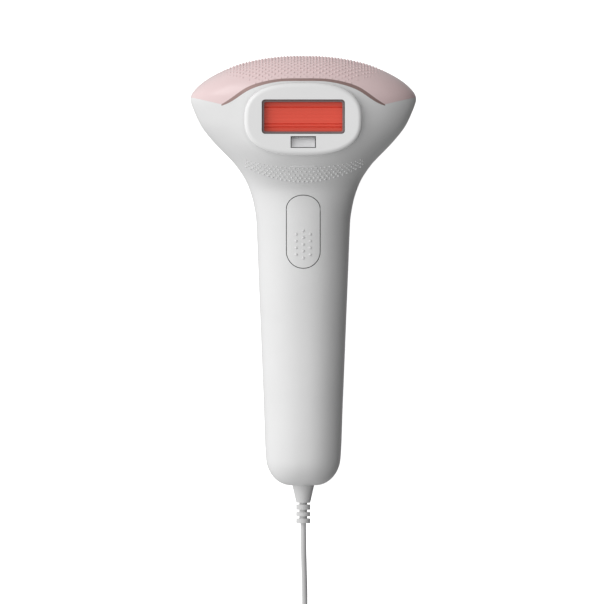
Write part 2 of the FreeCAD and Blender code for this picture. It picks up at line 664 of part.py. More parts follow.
def fan_frame():
    frame = centred_box(0, FAN_U, FAN_SIZE, FAN_SIZE, FAN_FLOOR, FAN_TOP)
    frame = frame.cut(rod_z(0, FAN_U, BORE, FAN_FLOOR - 1, FAN_TOP + 1))
    arms = rod_z(0, FAN_U, HUB_RADIUS, FAN_TOP - 1, FAN_TOP)
    arms = arms.fuse(centred_box(0, FAN_U, FAN_SIZE - 1, 1.6, FAN_TOP - 1, FAN_TOP))
    arms = arms.fuse(centred_box(0, FAN_U, 1.6, FAN_SIZE - 1, FAN_TOP - 1, FAN_TOP))
    return frame.fuse(arms)


def fan_motor():
    """Wound stator with the shaft that the impeller turns on."""
    stator = rod_z(0, FAN_U, HUB_RADIUS - 1.5, FAN_FLOOR + 2.5, FAN_TOP - 1)
    return stator.fuse(rod_z(0, FAN_U, SHAFT_RADIUS, FAN_FLOOR + 0.8, FAN_FLOOR + 3))


def fan_impeller():
    hub = rod_z(0, FAN_U, HUB_RADIUS, FAN_FLOOR, FAN_TOP - 1.6)
    hub = hub.cut(rod_z(0, FAN_U, HUB_RADIUS - 1.0, FAN_FLOOR + 2.1, FAN_TOP))
    for k in range(FAN_BLADES):
        blade = Part.makeBox(BORE - GAP - HUB_RADIUS + 1, 0.8, FAN_THICKNESS - 2.4,
                             Vector(HUB_RADIUS - 0.8, along(FAN_U) - 0.4, FAN_FLOOR + 0.3))
        middle = Vector(HUB_RADIUS + 3, along(FAN_U), FAN_FLOOR + 3)
        blade.rotate(middle, Vector(1, 0, 0), 35)
        blade = blade.common(rod_z(0, FAN_U, BORE - GAP, FAN_FLOOR, FAN_TOP - 1.6))
        blade.rotate(Vector(0, along(FAN_U), 0), Vector(0, 0, 1), 360 * k / FAN_BLADES)
        hub = hub.fuse(blade.cut(rod_z(0, FAN_U, HUB_RADIUS - 0.5, 0, ROOF)))
    return hub.cut(rod_z(0, FAN_U, SHAFT_RADIUS + SHAFT_PLAY, FAN_FLOOR - 1, FAN_TOP))


def air_duct():
    top = BOX_BOTTOM - 2
    outer = at_window(SINK_WIDTH + 4, SINK_LENGTH + 4, FAN_TOP + FIT, top)
    return outer.cut(at_window(SINK_WIDTH + 1, SINK_LENGTH + 1, 0, ROOF))


# ---- handle
def main_capacitor():
    end = CAPACITOR_START + CAPACITOR_LENGTH
    can = rod_y(0, CAPACITOR_START, end, PARTING_HEIGHT + 1, CAPACITOR_RADIUS)
    groove = rod_y(0, end - 6, end - 5, PARTING_HEIGHT + 1, CAPACITOR_RADIUS + 1)
    return can.cut(groove.cut(rod_y(0, end - 7, end, PARTING_HEIGHT + 1, CAPACITOR_RADIUS - 0.5)))


def capacitor_strap():
    u = CAPACITOR_START + 0.4 * CAPACITOR_LENGTH
    ring = rod_y(0, u, u + 6, PARTING_HEIGHT + 1, CAPACITOR_RADIUS + 1.2)
    return ring.cut(rod_y(0, u - 1, u + 7, PARTING_HEIGHT + 1, CAPACITOR_RADIUS))


def main_board():
    start = CAPACITOR_START + CAPACITOR_LENGTH + 2
    end = BUTTON_TOP
    top = BOARD_HEIGHT + BOARD_THICKNESS
    return box(-BOARD_HALF_WIDTH, BOARD_HALF_WIDTH, start, end, BOARD_HEIGHT, top)


def on_board(x, u, width, length, height):
    low = BOARD_HEIGHT + BOARD_THICKNESS
    return centred_box(x, u, width, length, low, low + height)


def hv_transformer():
    u = CAPACITOR_START + CAPACITOR_LENGTH + 11
    core = on_board(0, u, 16, 12, 12)
    return core.fuse(on_board(0, u, 12, 15, 9))


def trigger_transformer():
    """Small potted coil beside the light unit."""
    return rod_z(TRIGGER_X, WINDOW_U - TRIGGER_BELOW_WINDOW, TRIGGER_RADIUS,
                 BOX_BOTTOM, BOX_BOTTOM + TRIGGER_HEIGHT)


SWITCH_U = BUTTON_TOP - BUTTON_LENGTH + STEM_FROM_BOTTOM
SWITCH_TOP = HANDLE_DEPTH - SWITCH_DEPTH
STEM_BOTTOM = SWITCH_TOP + PLUNGER_PROUD
PLUNGER_TRAVEL = math.radians(BUTTON_TRAVEL_DEG) * (BUTTON_TOP - PIVOT_FROM_TOP - SWITCH_U)


def flash_switch():
    body = centred_box(0, SWITCH_U, SWITCH_SIZE, SWITCH_SIZE, SWITCH_TOP - SWITCH_HEIGHT, SWITCH_TOP)
    bore_bottom = SWITCH_TOP - PLUNGER_SEATED - PLUNGER_TRAVEL - GAP
    return body.cut(rod_z(0, SWITCH_U, PLUNGER_RADIUS + SHAFT_PLAY, bore_bottom, SWITCH_TOP + 1))


def switch_plunger():
    return rod_z(0, SWITCH_U, PLUNGER_RADIUS, SWITCH_TOP - PLUNGER_SEATED, STEM_BOTTOM - FIT)


def switch_board():
    """Small board that carries the flash switch, on two posts from the main board."""
    top = SWITCH_TOP - SWITCH_HEIGHT
    board = centred_box(0, SWITCH_U + 4, 12, 20, top - 1.2, top)
    for x in (-4.5, 4.5):
        board = board.fuse(rod_z(x, SWITCH_U + 4, 1.2, BOARD_HEIGHT + BOARD_THICKNESS, top - 1.2))
    return board


SPRING_U = SWITCH_U + 8.0
BUTTON_UNDER = front(HANDLE_LENGTH) - PIVOT_DEPTH


def flash_button():
    """Cap in the handle's own form, with a stem over the switch and two lugs on the pivot."""
    cap = CASING.common(button_outline(0, PARTING_HEIGHT + 6, ROOF))
    stem = rod_z(0, SWITCH_U, 2.0, STEM_BOTTOM, ROOF).common(MIDDLE_FORM)
    seat = rod_z(0, SPRING_U, 2.6, BUTTON_UNDER, ROOF).common(MIDDLE_FORM)
    u, z = pivot_point()
    for x in (-4.5, 4.5):
        lug = centred_box(x, u, 2.0, 3.2, z - 1.6, ROOF).common(MIDDLE_FORM)
        cap = cap.fuse(lug)
    return cap.fuse(stem).fuse(seat).cut(rod_x(-9, 9, u, z, PIVOT_RADIUS + SHAFT_PLAY))


def button_pivot_pin():
    u, z = pivot_point()
    return rod_x(-pin_reach(), pin_reach(), u, z, PIVOT_RADIUS)


def button_return_spring():
    return spring(0, SPRING_U, SWITCH_TOP - SWITCH_HEIGHT, BUTTON_UNDER, 2.0, 0.5)


# ---- back of the handle and head
def panel_span():
    high = HANDLE_LENGTH - PANEL_TOP_BELOW_NECK
    return high - PANEL_LENGTH, high


def key_stations():
    low, high = panel_span()
    return low + 6.5, high - 6.5


def level_stations():
    low, high = key_stations()
    first, last = low + 7.5, high - 7.5
    return [first + (last - first) * k / (LEVEL_COUNT - 1) for k in range(LEVEL_COUNT)]


def control_panel():
    low, high = panel_span()
    panel = CASING.common(centred_box(0, (low + high) / 2, 2 * (PANEL_HALF_WIDTH - FIT),
                                      high - low - 2 * FIT, -2, 8))
    for u in key_stations():
        panel = panel.cut(rod_z(0, u, KEY_RADIUS + GAP, -2, 8))
    for u in level_stations():
        panel = panel.cut(rod_z(0, u, LENS_RADIUS, -2, 8))
    return panel


def key(u):
    """Round key in the back's own form."""
    return CASING.common(rod_z(0, u, KEY_RADIUS, -2, 8))


def key_domes():
    """Soft switch under each key, on the main board."""
    return Part.makeCompound([rod_z(0, u, 1.6, key_inside(u) + KEY_TRAVEL + FIT, BOARD_HEIGHT)
                              for u in key_stations()])


def key_inside(u):
    return back(u) + WALL + 0.25


def level_lenses():
    return Part.makeCompound([rod_z(0, u, LENS_RADIUS, back(u) + 0.05, BOARD_HEIGHT)
                              for u in level_stations()])


def vent_grille():
    grille = CASING.common(centred_box(0, FAN_U, 2 * (VENT_HALF_WIDTH - FIT),
                                       2 * (VENT_HALF_HEIGHT - FIT), -2, WALL + 2))
    pitch = 2 * VENT_HALF_HEIGHT / (VENT_SLOTS + 1)
    for k in range(VENT_SLOTS):
        u = FAN_U - VENT_HALF_HEIGHT + (k + 1) * pitch
        grille = grille.cut(centred_box(0, u, 2 * VENT_HALF_WIDTH - 4, pitch * 0.5, -2, WALL + 2))
    return grille


# ---- cord
def route_points(route):
    return [Vector(x, along(u), z) for x, u, z in route]


def tube(points, radius, name):
    """Tube along straight runs joined by tangent arcs."""
    edges = []
    here = points[0]
    radii = []
    for a, b, c in zip(points, points[1:], points[2:]):
        before, after = (a - b), (c - b)
        reach = 0.45 * min(before.Length, after.Length)
        start = b + before.normalize() * reach
        end = b + after.normalize() * reach
        half_turn = (math.pi - before.getAngle(after)) / 2
        bend = reach / math.tan(half_turn)
        radii.append(round(bend, 1))
        toward = (before + after).normalize()
        distance = bend / math.cos(half_turn) - bend
        edges.append(Part.LineSegment(here, start).toShape())
        edges.append(Part.Arc(start, b + toward * distance, end).toShape())
        here = end
    edges.append(Part.LineSegment(here, points[-1]).toShape())
    path = Part.Wire(edges)
    direction = (points[1] - points[0]).normalize()
    circle = Part.Wire(Part.Circle(points[0], direction, radius).toShape())
    solid = path.makePipeShell([circle], True, True)
    share = solid.Volume / (math.pi * radius * radius * path.Length)
    print(name, "length", round(path.Length, 1), "radii", radii, "volume share", round(share, 3))
    return solid


def cord():
    return tube(route_points(CORD_ROUTE), CORD_RADIUS, "cord")


def cord_tail():
    return tube(route_points(TAIL_ROUTE), CORD_RADIUS, "cord_tail")


def coil_ring(grow, z0, z1):
    x, u = COIL_CENTRE
    outer = rod_z(x, u, COIL_MID_RADIUS + COIL_HALF_WIDTH + grow, z0, z1)
    ring = outer.cut(rod_z(x, u, COIL_MID_RADIUS - COIL_HALF_WIDTH - grow, z0 - 1, z1 + 1))
    return rounded(ring, COIL_ROUNDING, lambda e: e.Closed and e.Length > 20)


def cord_coil():
    return coil_ring(0, TIE_THICKNESS, TIE_THICKNESS + COIL_HEIGHT)


def coil_tie():
    """Soft band round the coil's turns on the side away from the body's middle line."""
    x, u = COIL_CENTRE
    height = COIL_HEIGHT + 2 * TIE_THICKNESS
    reach = COIL_MID_RADIUS + COIL_HALF_WIDTH + 3
    slab = box(x, x + reach, u - TIE_HALF_WIDTH, u + TIE_HALF_WIDTH, -1, height + 1)
    return coil_ring(TIE_THICKNESS, 0, height).common(slab).cut(cord_coil())


def strain_relief():
    """Tapered boot with flexible ribs, a neck through the end wall and a flange inside."""
    z = PARTING_HEIGHT
    cone = Part.makeCone(RELIEF_RADIUS, RELIEF_TIP_RADIUS, 7.0, Vector(0, along(0), z), Vector(0, -1, 0))
    boot = cone.fuse(rod_y(0, -RELIEF_LENGTH, -6.5, z, 1.6))
    for low, high in RELIEF_RIBS:
        boot = boot.fuse(rod_y(0, -high, -low, z, RELIEF_TIP_RADIUS))
    boot = boot.fuse(rod_y(0, -0.5, WALL + 0.6, z, NECK_RADIUS - FIT))
    boot = boot.fuse(rod_y(0, WALL + 0.25, WALL + 1.6, z, NECK_RADIUS + 1.0))
    return boot.cut(rod_y(0, -1, WALL + 3, z, CORD_RADIUS))


def cord_clamp():
    """Block that grips the cord inside the handle."""
    block = centred_box(0, WALL + 5, 9, 4, PARTING_HEIGHT - 5, PARTING_HEIGHT + 5)
    return block.cut(rod_y(0, 0, 12, PARTING_HEIGHT, CORD_RADIUS))


def inner_cord():
    """Cord from the strain relief through the clamp to the capacitor."""
    return rod_y(0, -1, CAPACITOR_START - 1, PARTING_HEIGHT, CORD_RADIUS)


# ---- adapter
def adapter_block(z0, z1):
    u = ADAPTER_START - ADAPTER_LENGTH / 2
    block = centred_box(0, u, ADAPTER_WIDTH, ADAPTER_LENGTH, 0, ADAPTER_DEPTH)
    block = rounded(block, 6.0, is_upright)
    block = rounded(block, 2.0, lambda e: e.BoundBox.ZLength < 1e-6)
    return block.common(box(-60, 60, -250, 0, z0, z1))


def adapter_base():
    return adapter_block(0, ADAPTER_SPLIT)


def adapter_face():
    return adapter_block(ADAPTER_SPLIT, ADAPTER_DEPTH)


def adapter_pins():
    u = ADAPTER_START - ADAPTER_LENGTH / 2
    pins = []
    for side in (-1, 1):
        pin = rod_z(side * PIN_SPACING / 2, u, PIN_RADIUS, ADAPTER_DEPTH, ADAPTER_DEPTH + PIN_LENGTH)
        pins.append(pin)
    return Part.makeCompound(pins)


def adapter_relief():
    x, u, z = TAIL_ROUTE[-1]
    start = Vector(x, along(ADAPTER_START), z)
    return Part.makeCone(3.4, 2.0, u - ADAPTER_START, start, Vector(0, 1, 0))


def main():
    low_key, high_key = key_stations()
    nodes = {
        "front_shell": front_shell(), "rear_shell": rear_shell(), "top_cover": top_cover(),
        "accent_trim": accent_trim(), "housing_screws": housing_screws(),
        "attachment_frame": attachment_frame(), "window_frame": window_frame(),
        "contact_plate": contact_plate(), "plate_springs": plate_springs(),
        "light_unit_frame": light_unit_frame(), "filter_glass": filter_glass(),
        "window_seal": window_seal(), "lamp_reflector": lamp_reflector(),
        "flash_lamp": flash_lamp(), "lamp_end_caps": lamp_end_caps(), "lamp_holders": lamp_holders(),
        "skin_sensor_lens": skin_sensor_lens(), "skin_sensor_board": skin_sensor_board(),
        "contact_switches": contact_switches(), "heat_sink": heat_sink(), "air_duct": air_duct(),
        "fan_frame": fan_frame(), "fan_motor": fan_motor(), "fan_impeller": fan_impeller(),
        "vent_grille": vent_grille(), "main_capacitor": main_capacitor(),
        "capacitor_strap": capacitor_strap(), "main_board": main_board(),
        "hv_transformer": hv_transformer(), "trigger_transformer": trigger_transformer(),
        "flash_button": flash_button(), "button_pivot_pin": button_pivot_pin(),
        "button_return_spring": button_return_spring(), "flash_switch": flash_switch(),
        "switch_plunger": switch_plunger(), "switch_board": switch_board(),
        "control_panel": control_panel(), "power_key": key(low_key), "level_key": key(high_key),
        "key_domes": key_domes(), "level_lenses": level_lenses(),
        "strain_relief": strain_relief(), "cord_clamp": cord_clamp(), "inner_cord": inner_cord(),
        "cord": cord(), "cord_coil": cord_coil(), "coil_tie": coil_tie(), "cord_tail": cord_tail(),
        "adapter_relief": adapter_relief(), "adapter_base": adapter_base(),
        "adapter_face": adapter_face(), "adapter_pins": adapter_pins(),
    }
    os.makedirs("parts", exist_ok=True)
    for name, shape in nodes.items():
        shape.exportStep("parts/" + name + ".step")


main()
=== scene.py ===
import json
import math

import bmesh
import bpy
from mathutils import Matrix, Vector
from mathutils.bvhtree import BVHTree


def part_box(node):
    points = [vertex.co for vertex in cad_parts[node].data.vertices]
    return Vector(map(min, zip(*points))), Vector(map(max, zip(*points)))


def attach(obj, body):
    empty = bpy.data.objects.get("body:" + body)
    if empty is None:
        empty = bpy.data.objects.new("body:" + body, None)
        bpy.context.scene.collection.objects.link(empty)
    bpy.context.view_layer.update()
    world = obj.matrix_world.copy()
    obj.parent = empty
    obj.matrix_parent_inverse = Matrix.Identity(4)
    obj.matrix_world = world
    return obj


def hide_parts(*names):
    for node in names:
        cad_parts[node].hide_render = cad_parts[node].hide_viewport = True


# Studio picture of a corded light-pulse hair remover that lies on its back.  Metres.
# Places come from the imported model: +Z out of the light window, +Y to the head.

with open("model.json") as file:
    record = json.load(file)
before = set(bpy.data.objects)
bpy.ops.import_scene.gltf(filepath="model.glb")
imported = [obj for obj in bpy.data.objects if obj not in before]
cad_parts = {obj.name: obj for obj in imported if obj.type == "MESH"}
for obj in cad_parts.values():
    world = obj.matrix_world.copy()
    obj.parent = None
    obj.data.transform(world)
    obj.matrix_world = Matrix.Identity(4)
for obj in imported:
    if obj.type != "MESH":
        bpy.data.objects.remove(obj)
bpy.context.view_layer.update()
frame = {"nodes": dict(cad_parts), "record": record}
NODES = frame["nodes"]
MM = 0.001
ABOVE_ALL = 0.2              # rays that look for a surface start this high
DOWN = Vector((0, 0, -1))


BODY_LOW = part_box("rear_shell")[0].y          # cord end of the handle


def along(u):
    """Y, in metres, of a station in millimetres from the cord end."""
    return BODY_LOW + u * MM


# ---------------------------------------------------------------- materials
def new_material(name):
    material = bpy.data.materials.new(name)
    material.use_nodes = True
    nodes = material.node_tree.nodes
    return material, nodes, material.node_tree.links, nodes["Principled BSDF"]


def noise(nodes, links, scale, detail=2.0, stretch=(1, 1, 1)):
    """Noise texture in object space, in features per metre."""
    place = nodes.new("ShaderNodeTexCoord")
    mapping = nodes.new("ShaderNodeMapping")
    mapping.inputs["Scale"].default_value = stretch
    texture = nodes.new("ShaderNodeTexNoise")
    texture.inputs["Scale"].default_value = scale
    texture.inputs["Detail"].default_value = detail
    links.new(place.outputs["Object"], mapping.inputs["Vector"])
    links.new(mapping.outputs["Vector"], texture.inputs["Vector"])
    return texture


def ramp(nodes, links, source, low, high, start=0.3, end=0.7):
    """Colour ramp from low to high, driven by a texture's factor."""
    node = nodes.new("ShaderNodeValToRGB")
    node.color_ramp.elements[0].position = start
    node.color_ramp.elements[1].position = end
    node.color_ramp.elements[0].color = (*low, 1)
    node.color_ramp.elements[1].color = (*high, 1)
    links.new(source, node.inputs["Fac"])
    return node.outputs["Color"]


def spread(nodes, links, source, low, high):
    """Map a 0 to 1 factor to a range of numbers."""
    node = nodes.new("ShaderNodeMapRange")
    node.inputs["To Min"].default_value = low
    node.inputs["To Max"].default_value = high
    links.new(source, node.inputs["Value"])
    return node.outputs["Result"]


def add_bump(nodes, links, shader, source, strength, distance):
    bump = nodes.new("ShaderNodeBump")
    bump.inputs["Strength"].default_value = strength
    bump.inputs["Distance"].default_value = distance
    links.new(source, bump.inputs["Height"])
    links.new(bump.outputs["Normal"], shader.inputs["Normal"])


def moulded(name, low, high, rough, grain=2600, bump=0.12, stretch=(1, 1, 1), **sockets):
    """Moulded surface: slow tone changes, fine grain in gloss and relief."""
    material, nodes, links, shader = new_material(name)
    tone = noise(nodes, links, 38, 3.0, stretch)
    fine = noise(nodes, links, grain, 2.0, stretch)
    links.new(ramp(nodes, links, tone.outputs["Fac"], low, high), shader.inputs["Base Color"])
    links.new(spread(nodes, links, fine.outputs["Fac"], rough[0], rough[1]), shader.inputs["Roughness"])
    add_bump(nodes, links, shader, fine.outputs["Fac"], bump, 0.00004)
    for socket, value in sockets.items():
        shader.inputs[socket.replace("_", " ")].default_value = value
    return material


def brushed(name, low, high, rough, stretch):
    """Metal with fine lines in one direction."""
    return moulded(name, low, high, rough, grain=900, bump=0.2, stretch=stretch, Metallic=1.0)


MATERIALS = {
    "white_plastic": moulded("white_plastic", (0.79, 0.79, 0.79), (0.83, 0.83, 0.83), (0.26, 0.36),
                             Coat_Weight=0.25, Coat_Roughness=0.22),
    "face_plastic": moulded("face_plastic", (0.87, 0.87, 0.87), (0.90, 0.90, 0.90), (0.2, 0.3),
                            Coat_Weight=0.4, Coat_Roughness=0.15),
    "pink_plastic": moulded("pink_plastic", (0.80, 0.615, 0.615), (0.85, 0.66, 0.66), (0.24, 0.34),
                            Coat_Weight=0.5, Coat_Roughness=0.2),
    "copper_trim": moulded("copper_trim", (0.30, 0.20, 0.185), (0.38, 0.26, 0.24), (0.3, 0.42),
                           Metallic=0.35),
    "dark_trim": moulded("dark_trim", (0.19, 0.13, 0.125), (0.25, 0.175, 0.17), (0.35, 0.5)),
    "black_plastic": moulded("black_plastic", (0.018, 0.018, 0.018), (0.035, 0.035, 0.035), (0.45, 0.6)),
    "grey_plastic": moulded("grey_plastic", (0.48, 0.48, 0.49), (0.55, 0.55, 0.56), (0.35, 0.48)),
    "sensor_plastic": moulded("sensor_plastic", (0.78, 0.78, 0.79), (0.84, 0.84, 0.85), (0.2, 0.3)),
    "dark_rubber": moulded("dark_rubber", (0.03, 0.03, 0.03), (0.06, 0.06, 0.06), (0.6, 0.8), bump=0.3),
    "cord_rubber": moulded("cord_rubber", (0.60, 0.60, 0.60), (0.68, 0.68, 0.68), (0.38, 0.5)),
    "ceramic": moulded("ceramic", (0.72, 0.70, 0.64), (0.8, 0.78, 0.73), (0.5, 0.65)),
    "circuit_board": moulded("circuit_board", (0.02, 0.16, 0.06), (0.04, 0.24, 0.1), (0.3, 0.45)),
    "capacitor_sleeve": moulded("capacitor_sleeve", (0.02, 0.025, 0.07), (0.03, 0.04, 0.1), (0.2, 0.3)),
    "ferrite": moulded("ferrite", (0.04, 0.035, 0.03), (0.08, 0.07, 0.06), (0.5, 0.7), bump=0.4),
    "lens_plastic": moulded("lens_plastic", (0.75, 0.78, 0.8), (0.82, 0.85, 0.87), (0.08, 0.16),
                            Coat_Weight=0.5),
    "adapter_plastic": moulded("adapter_plastic", (0.62, 0.62, 0.62), (0.68, 0.68, 0.68), (0.42, 0.58),
                               grain=1800, bump=0.3),
    "steel": brushed("steel", (0.5, 0.5, 0.52), (0.62, 0.62, 0.64), (0.2, 0.35), (1, 1, 6)),
    "mirror_metal": brushed("mirror_metal", (0.8, 0.8, 0.82), (0.88, 0.88, 0.9), (0.05, 0.12), (6, 1, 1)),
    "aluminium": brushed("aluminium", (0.55, 0.55, 0.57), (0.64, 0.64, 0.66), (0.3, 0.45), (1, 1, 5)),
}


def red_glass():
    """Orange-red filter glass, a little darker in straight streaks along its ribs."""
    material, nodes, links, shader = new_material("red_glass")
    streak = noise(nodes, links, 45, 0.0, (0.02, 5, 1))
    colour = ramp(nodes, links, streak.outputs["Fac"], (0.86, 0.09, 0.055), (0.92, 0.112, 0.07))
    links.new(colour, shader.inputs["Base Color"])
    links.new(spread(nodes, links, streak.outputs["Fac"], 0.25, 0.4), shader.inputs["Roughness"])
    shader.inputs["Specular IOR Level"].default_value = 0.3
    return material


def clear_glass():
    material, nodes, links, shader = new_material("clear_glass")
    fine = noise(nodes, links, 800)
    colour = ramp(nodes, links, fine.outputs["Fac"], (0.86, 0.9, 0.93), (0.93, 0.96, 0.98))
    links.new(colour, shader.inputs["Base Color"])
    links.new(spread(nodes, links, fine.outputs["Fac"], 0.02, 0.06), shader.inputs["Roughness"])
    shader.inputs["Transmission Weight"].default_value = 0.8
    return material


MATERIALS["red_glass"] = red_glass()
MATERIALS["clear_glass"] = clear_glass()


def paint(piece, slot):
    """Give a piece the material of one of the record's slots."""
    piece.data.materials.clear()
    piece.data.materials.append(MATERIALS[slot])


for row in frame["record"]["subparts"]:
    paint(NODES[row["node"]], row["material_slot"])


NODES["contact_plate"].data.materials[0] = MATERIALS["face_plastic"]
UPRIGHT = 0.2                # a wall's normal rises by less than this


def paint_gap_shade_on_walls(node, slot):
    """Painted shade: upright walls get a dark material, so that the gap round a piece reads as a shadowed
    line.
    """
    mesh = NODES[node].data
    mesh.materials.append(MATERIALS[slot])
    for face in mesh.polygons:
        if abs(face.normal.z) < UPRIGHT:
            face.material_index = 1


# painted shade: the flash button's upright walls are dark so the gap round it looks shadowed
paint_gap_shade_on_walls("flash_button", "dark_rubber")


# ---------------------------------------------------------------- camera, light, floor
VIEW_WIDTH = 0.2416          # width of the picture at mid depth of the head
VIEW_DISTANCE = 3.0
VIEW_PLANE = 0.030
VIEW_SHIFT = Vector((-0.0005, -0.0122, 0))


def add_camera():
    data = bpy.data.cameras.new("camera")
    data.sensor_width = 36
    data.lens = 36 * VIEW_DISTANCE / VIEW_WIDTH
    camera = bpy.data.objects.new("camera", data)
    camera.location = VIEW_SHIFT + Vector((0, 0, VIEW_PLANE + VIEW_DISTANCE))
    bpy.context.scene.collection.objects.link(camera)
    bpy.context.scene.camera = camera


def add_light(name, place, target, size, power):
    data = bpy.data.lights.new(name, "AREA")
    data.size = size
    data.energy = power
    light = bpy.data.objects.new(name, data)
    light.location = place
    light.rotation_euler = (Vector(target) - Vector(place)).to_track_quat("-Z", "Y").to_euler()
    bpy.context.scene.collection.objects.link(light)


def add_world(level, lean):
    """White surroundings that are brighter towards lean, like a soft box beside a dark wall."""
    world = bpy.data.worlds.new("studio")
    world.use_nodes = True
    nodes, links = world.node_tree.nodes, world.node_tree.links
    place = nodes.new("ShaderNodeTexCoord")
    split = nodes.new("ShaderNodeSeparateXYZ")
    joined = nodes.new("ShaderNodeCombineXYZ")
    above = nodes.new("ShaderNodeMath")
    above.operation = "MAXIMUM"
    above.inputs[1].default_value = 0.0
    slope = nodes.new("ShaderNodeVectorMath")
    slope.operation = "DOT_PRODUCT"
    slope.inputs[1].default_value = lean
    total = nodes.new("ShaderNodeMath")
    total.operation = "ADD"
    total.inputs[1].default_value = level
    positive = nodes.new("ShaderNodeMath")
    positive.operation = "MAXIMUM"
    positive.inputs[1].default_value = 0.0
    links.new(place.outputs["Generated"], split.inputs["Vector"])
    links.new(split.outputs["X"], joined.inputs["X"])
    links.new(split.outputs["Y"], joined.inputs["Y"])
    links.new(split.outputs["Z"], above.inputs[0])
    links.new(above.outputs["Value"], joined.inputs["Z"])
    links.new(joined.outputs["Vector"], slope.inputs[0])
    links.new(slope.outputs["Value"], total.inputs[0])
    links.new(total.outputs["Value"], positive.inputs[0])
    links.new(positive.outputs["Value"], nodes["Background"].inputs["Strength"])
    nodes["Background"].inputs["Color"].default_value = (1, 1, 1, 1)
    bpy.context.scene.world = world


def add_floor():
    bpy.ops.mesh.primitive_plane_add(size=6)
    floor = bpy.context.object
    floor.name = "floor"
    material, nodes, links, shader = new_material("floor_paper")
    paper = noise(nodes, links, 300)
    colour = ramp(nodes, links, paper.outputs["Fac"], (0.90, 0.90, 0.90), (0.93, 0.93, 0.93))
    links.new(colour, shader.inputs["Base Color"])
    shader.inputs["Roughness"].default_value = 0.9
    shader.inputs["Specular IOR Level"].default_value = 0.1
    shader.inputs["Emission Color"].default_value = (1, 1, 1, 1)
    shader.inputs["Emission Strength"].default_value = FLOOR_GLOW
    floor.data.materials.append(material)
    floor.location.z = -FLOOR_CLEARANCE
    floor.visible_diffuse = False
    floor.visible_glossy = False


FLOOR_GLOW = 0.78
FLOOR_CLEARANCE = 0.00005
WORLD_LEVEL = 0.455
WORLD_LEAN = (-0.63, 0.15, 0.39)
KEY_PLACE = (-0.9, 0.75, 0.8)
KEY_TARGET = (0, 0, 0.03)
KEY_SIZE = 0.7
KEY_POWER = 2.6
add_camera()
add_world(WORLD_LEVEL, WORLD_LEAN)
add_light("key", KEY_PLACE, KEY_TARGET, KEY_SIZE, KEY_POWER)
add_floor()
bpy.context.scene.view_settings.view_transform = "Standard"


# ---------------------------------------------------------------- meshes
def finish_mesh(name, bm, slot, body, smooth=True):
    bmesh.ops.recalc_face_normals(bm, faces=bm.faces)
    mesh = bpy.data.meshes.new(name)
    bm.to_mesh(mesh)
    bm.free()
    for face in mesh.polygons:
        face.use_smooth = smooth
    piece = bpy.data.objects.new(name, mesh)
    bpy.context.scene.collection.objects.link(piece)
    paint(piece, slot)
    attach(piece, body)
    return piece


def tree_of(*names):
    """One search tree over the surfaces of some CAD nodes."""
    points, faces = [], []
    for name in names:
        start = len(points)
        mesh = NODES[name].data
        points += [v.co.copy() for v in mesh.vertices]
        faces += [[start + i for i in p.vertices] for p in mesh.polygons]
    return BVHTree.FromPolygons(points, faces)


def add_dome(bm, place, normal, radius, height, sides=10):
    """Low round bump whose foot is sunk a little into the surface."""
    turn = normal.to_track_quat("Z", "Y").to_matrix()
    rings = []
    for share in (1.0, 0.82, 0.45):
        level = height * math.sqrt(1 - share * share) if share < 1 else -0.35 * height
        ring = []
        for k in range(sides):
            angle = 2 * math.pi * k / sides
            local = Vector((radius * share * math.cos(angle), radius * share * math.sin(angle), level))
            ring.append(bm.verts.new(place + turn @ local))
        rings.append(ring)
    crown = bm.verts.new(place + normal * height)
    for inner, outer in zip(rings[1:], rings):
        for k in range(sides):
            bm.faces.new((outer[k], outer[(k + 1) % sides], inner[(k + 1) % sides], inner[k]))
    for k in range(sides):
        bm.faces.new((rings[-1][k], rings[-1][(k + 1) % sides], crown))
    bm.faces.new(list(reversed(rings[0])))


def add_bar(bm, tree, x0, x1, y, width, height, steps=16):
    """Low rounded bar lying on a surface seen from above."""
    rows = []
    for k in range(steps + 1):
        x = x0 + (x1 - x0) * k / steps
        taper = math.sqrt(max(0.0, 1 - (2 * k / steps - 1) ** 8))
        hit, normal, _, _ = tree.ray_cast(Vector((x, y, ABOVE_ALL)), DOWN)
        side = normal.cross(Vector((1, 0, 0))).normalized()
        row = []
        for j in range(7):
            angle = math.pi * j / 6
            lift = height * math.sin(angle) * taper - 0.3 * height
            reach = math.cos(angle) * width / 2 * max(taper, 0.1)
            row.append(bm.verts.new(hit + side * reach + normal * lift))
        rows.append(row)
    for a, b in zip(rows, rows[1:]):
        for j in range(6):
            bm.faces.new((a[j], a[j + 1], b[j + 1], b[j]))
        bm.faces.new((a[6], a[0], b[0], b[6]))
    bm.faces.new(rows[0])
    bm.faces.new(list(reversed(rows[-1])))


# ---------------------------------------------------------------- grip dots
CROWN_DOT_PITCH = 2.3 * MM
CROWN_DOT_RADIUS = 0.5 * MM
CROWN_REACH = 37 * MM        # the dots fade out at this distance from the middle
CROWN_ROWS_FRONT = 10
CROWN_ROWS_BACK = 7
CROWN_AXIS_BELOW_TOP = 16 * MM    # the rows run round this axis
CROWN_AXIS_HEIGHT = 37 * MM


def crown_line(tree, x, axis_y, axis_z, direction, rows, first):
    """Points a pitch apart over the crown at one x, from the top towards front or back."""
    points = []
    step = math.radians(0.5)
    angle = math.pi / 2
    travelled, last = 0.0, None
    target = first * CROWN_DOT_PITCH
    while len(points) < rows and 0 < angle < math.pi:
        outward = Vector((0, math.sin(angle), math.cos(angle)))
        start = Vector((x, axis_y, axis_z)) + outward * 0.1
        hit, normal, _, _ = tree.ray_cast(start, -outward)
        if hit is None:
            break
        if last is not None:
            travelled += (hit - last).length
        last = hit
        if travelled >= target:
            points.append((hit, normal))
            target += CROWN_DOT_PITCH
        angle += direction * step
    return points


